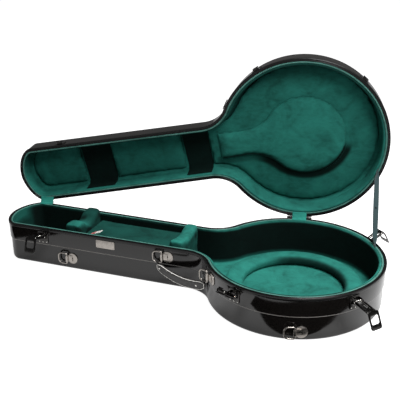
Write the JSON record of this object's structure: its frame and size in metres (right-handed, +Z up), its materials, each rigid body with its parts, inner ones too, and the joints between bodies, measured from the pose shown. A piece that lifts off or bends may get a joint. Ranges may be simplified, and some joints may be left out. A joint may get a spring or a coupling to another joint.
{
  "type": "banjo case",
  "caption": "Hard banjo case standing open, with plush-lined shells, an accessory compartment, draw latches, ring plates and a carrying handle.",
  "frame": {"origin": "under the centre of the round body, on the ground the case lies on", "axes": "+Z up, -X towards the neck end of the case, +Y towards the hinges at the back"},
  "size_m": [0.9626, 0.5024, 0.5019],
  "materials": {
    "shell": "glossy moulded black shell with warm grey reflections",
    "valance": "black painted rim extrusion",
    "plush": "teal green short pile plush",
    "dark_plush": "teal green plush in shade",
    "welt": "pale green piping",
    "nickel": "bright nickel plate",
    "black_metal": "black painted steel",
    "black_vinyl": "black leathercloth with pale stitching",
    "webbing": "grey green ribbed ribbon",
    "ribbon": "red and white ribbon"
  },
  "bodies": {
    "base": {"base_shell": "shell", "base_valance": "valance", "base_welt": "welt", "base_lining": "plush", "ring_pad": "plush", "neck_block_head": "plush", "neck_block_heel": "plush", "compartment_rail_front": "dark_plush", "compartment_rail_back": "dark_plush", "badge_plate": "nickel", "hinge_base_leaf_neck": "black_metal", "hinge_pin_neck": "nickel", "hinge_cover_neck": "dark_plush", "hinge_base_leaf_body": "black_metal", "hinge_pin_body": "nickel", "hinge_cover_body": "dark_plush", "stay_strap": "webbing", "stay_plate_base": "nickel", "latch_plate_neck": "black_metal", "latch_plate_front": "black_metal", "latch_plate_side": "black_metal", "latch_plate_back": "black_metal", "ring_plate_neck": "nickel", "ring_plate_front": "nickel", "ring_plate_handle_left": "nickel", "ring_plate_handle_right": "nickel"},
    "lid": {"lid_shell": "shell", "lid_valance": "valance", "lid_welt": "welt", "lid_lining": "plush", "lid_pad_head": "plush", "lid_pad_middle": "plush", "lid_pad_body": "plush", "lid_pillow": "plush", "lid_guard_plate": "black_metal", "hinge_lid_leaf_neck": "black_metal", "hinge_lid_leaf_body": "black_metal", "stay_plate_lid": "nickel", "latch_keeper_neck": "black_metal", "latch_keeper_front": "black_metal", "latch_keeper_side": "black_metal", "latch_keeper_back": "black_metal"},
    "compartment_board": {"compartment_lid": "plush", "compartment_ribbon": "ribbon"},
    "arm_neck": {"latch_arm_neck": "black_metal"},
    "hook_neck": {"latch_hook_neck": "black_metal"},
    "arm_front": {"latch_arm_front": "black_metal"},
    "hook_front": {"latch_hook_front": "black_metal"},
    "arm_side": {"latch_arm_side": "black_metal"},
    "hook_side": {"latch_hook_side": "black_metal"},
    "arm_back": {"latch_arm_back": "black_metal"},
    "hook_back": {"latch_hook_back": "black_metal"},
    "ring_neck": {"ring_neck": "nickel"},
    "ring_front": {"ring_front": "nickel"},
    "ring_handle_left": {"ring_handle_left": "nickel"},
    "ring_handle_right": {"ring_handle_right": "nickel"},
    "handle": {"handle": "black_vinyl"}
  },
  "joints": [
    {"name": "lid_hinge", "type": "hinge", "parent": "base", "child": "lid", "pos_m": [-0.03805, 0.1994, 0.1002], "axis": [0.9823, 0.1874, 0], "range_deg": [0, 84.3], "deforming": ["stay_strap", "hinge_cover_neck", "hinge_cover_body"]},
    {"name": "compartment_hinge", "type": "hinge", "parent": "base", "child": "compartment_board", "pos_m": [-0.396, 0.05603, 0.082], "axis": [0.9999, -0.0114, 0], "range_deg": [-95, 0]},
    {"name": "arm_pivot_neck", "type": "hinge", "parent": "base", "child": "arm_neck", "pos_m": [-0.60291, -0.08058, 0.081], "axis": [-0.9999, -0.0114, 0], "range_deg": [-50, 70]},
    {"name": "hook_pivot_neck", "type": "hinge", "parent": "arm_neck", "child": "hook_neck", "pos_m": [-0.6025, -0.11628, 0.094], "axis": [0.9999, 0.0114, 0], "range_deg": [-108, 92]},
    {"name": "arm_pivot_front", "type": "hinge", "parent": "base", "child": "arm_front", "pos_m": [-0.08294, -0.19075, 0.081], "axis": [-0.9171, 0.3987, 0], "range_deg": [-65, 55]},
    {"name": "hook_pivot_front", "type": "hinge", "parent": "arm_front", "child": "hook_front", "pos_m": [-0.09535, -0.21929, 0.1028], "axis": [0.9171, -0.3987, 0], "range_deg": [-200, 0]},
    {"name": "arm_pivot_side", "type": "hinge", "parent": "base", "child": "arm_side", "pos_m": [0.16391, -0.12806, 0.081], "axis": [-0.6157, -0.788, 0], "range_deg": [-22, 98]},
    {"name": "hook_pivot_side", "type": "hinge", "parent": "arm_side", "child": "hook_side", "pos_m": [0.19356, -0.15122, 0.07571], "axis": [0.6157, 0.788, 0], "range_deg": [-76, 124]},
    {"name": "arm_pivot_back", "type": "hinge", "parent": "base", "child": "arm_back", "pos_m": [0.13646, 0.15698, 0.081], "axis": [0.7547, -0.6561, 0], "range_deg": [-57, 63]},
    {"name": "hook_pivot_back", "type": "hinge", "parent": "arm_back", "child": "hook_back", "pos_m": [0.15867, 0.18253, 0.09825], "axis": [-0.7547, 0.6561, 0], "range_deg": [-107, 93]},
    {"name": "ring_pivot_neck", "type": "hinge", "parent": "base", "child": "ring_neck", "pos_m": [-0.53994, -0.07346, 0.03], "axis": [0, 0, 1], "range_deg": [0, 150]},
    {"name": "ring_pivot_front", "type": "hinge", "parent": "base", "child": "ring_front", "pos_m": [0.05334, -0.19485, 0.022], "axis": [0, 0, 1], "range_deg": [0, 150]},
    {"name": "ring_pivot_handle_left", "type": "hinge", "parent": "base", "child": "ring_handle_left", "pos_m": [-0.28994, -0.07322, 0.076], "axis": [0, 0, 1], "range_deg": [-2, 2]},
    {"name": "ring_pivot_handle_right", "type": "hinge", "parent": "base", "child": "ring_handle_right", "pos_m": [-0.15821, -0.12976, 0.078], "axis": [0, 0, 1], "range_deg": [-2, 2]},
    {"name": "handle_swing", "type": "hinge", "parent": "base", "child": "handle", "pos_m": [-0.23277, -0.09993, 0.06375], "axis": [-0.9277, 0.373, -0.014], "range_deg": [0, 80]}
  ]
}
